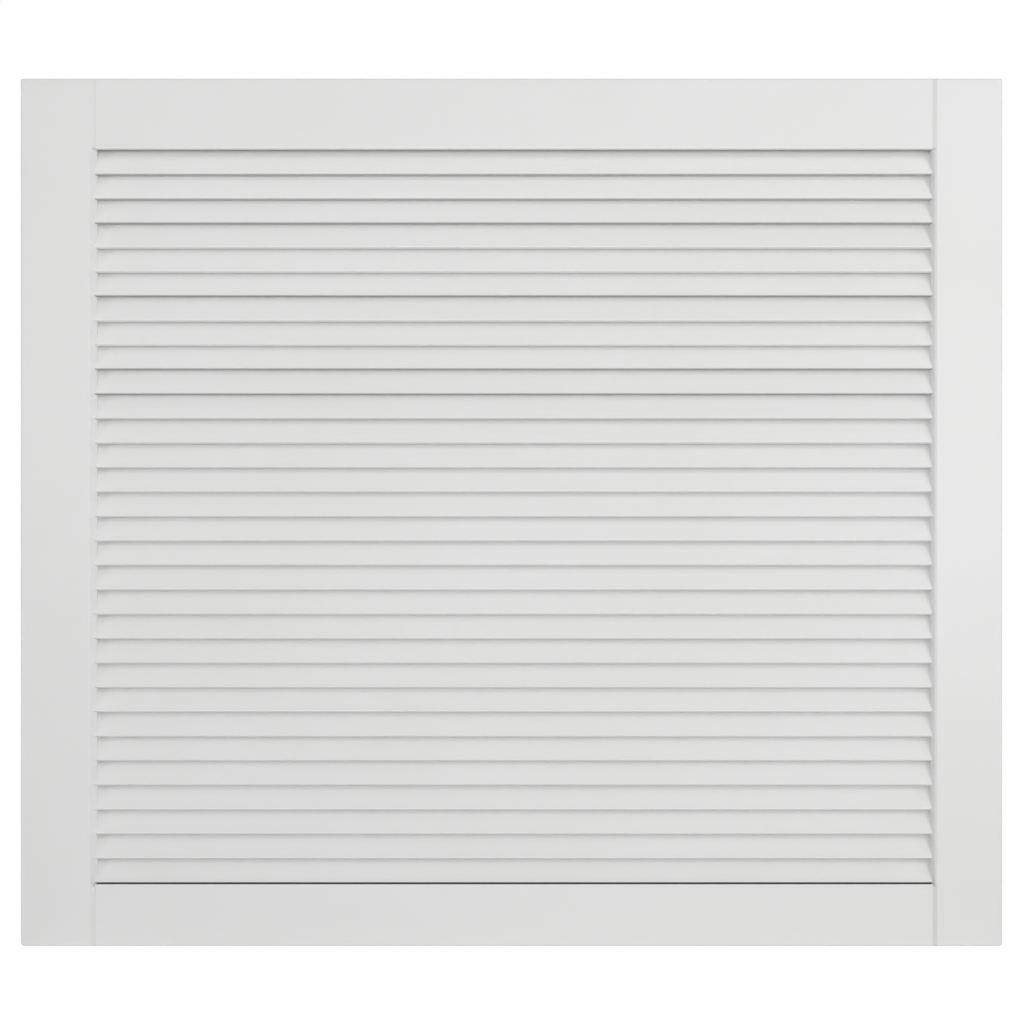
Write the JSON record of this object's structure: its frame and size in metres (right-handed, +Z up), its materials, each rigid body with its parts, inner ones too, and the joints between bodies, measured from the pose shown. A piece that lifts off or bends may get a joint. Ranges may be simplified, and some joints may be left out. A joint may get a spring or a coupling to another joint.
{
  "type": "louvred cabinet door",
  "caption": "Louvred cabinet door leaf: a dowelled frame of stiles and rails holds fixed, tilted, lapped slats in slanted housings; plain edges and faces for hinges and a knob.",
  "frame": {"origin": "middle of the bottom edge, in the middle of the door's thickness", "axes": "+X across the door to the right as seen from the front, +Y from the front face to the back, +Z up; the front faces -Y"},
  "size_m": [0.594, 0.021, 0.525],
  "materials": {
    "lacquered_stile": "softwood board under opaque off-white satin lacquer, faint grain along its length",
    "lacquered_rail": "softwood board under opaque off-white satin lacquer, faint grain along its length",
    "lacquered_slat": "thin softwood slat under opaque off-white satin lacquer, faint grain along its length",
    "beech_dowel": "bare beech, fluted, unfinished"
  },
  "bodies": {
    "root": {"left_stile": "lacquered_stile", "right_stile": "lacquered_stile", "top_rail": "lacquered_rail", "bottom_rail": "lacquered_rail", "slat_01": "lacquered_slat", "slat_02": "lacquered_slat", "slat_03": "lacquered_slat", "slat_04": "lacquered_slat", "slat_05": "lacquered_slat", "slat_06": "lacquered_slat", "slat_07": "lacquered_slat", "slat_08": "lacquered_slat", "slat_09": "lacquered_slat", "slat_10": "lacquered_slat", "slat_11": "lacquered_slat", "slat_12": "lacquered_slat", "slat_13": "lacquered_slat", "slat_14": "lacquered_slat", "slat_15": "lacquered_slat", "slat_16": "lacquered_slat", "slat_17": "lacquered_slat", "slat_18": "lacquered_slat", "slat_19": "lacquered_slat", "slat_20": "lacquered_slat", "slat_21": "lacquered_slat", "slat_22": "lacquered_slat", "slat_23": "lacquered_slat", "slat_24": "lacquered_slat", "slat_25": "lacquered_slat", "slat_26": "lacquered_slat", "slat_27": "lacquered_slat", "slat_28": "lacquered_slat", "slat_29": "lacquered_slat", "slat_30": "lacquered_slat", "dowel_top_left_upper": "beech_dowel", "dowel_top_left_lower": "beech_dowel", "dowel_top_right_upper": "beech_dowel", "dowel_top_right_lower": "beech_dowel", "dowel_bottom_left_upper": "beech_dowel", "dowel_bottom_left_lower": "beech_dowel", "dowel_bottom_right_upper": "beech_dowel", "dowel_bottom_right_lower": "beech_dowel"}
  },
  "joints": []
}
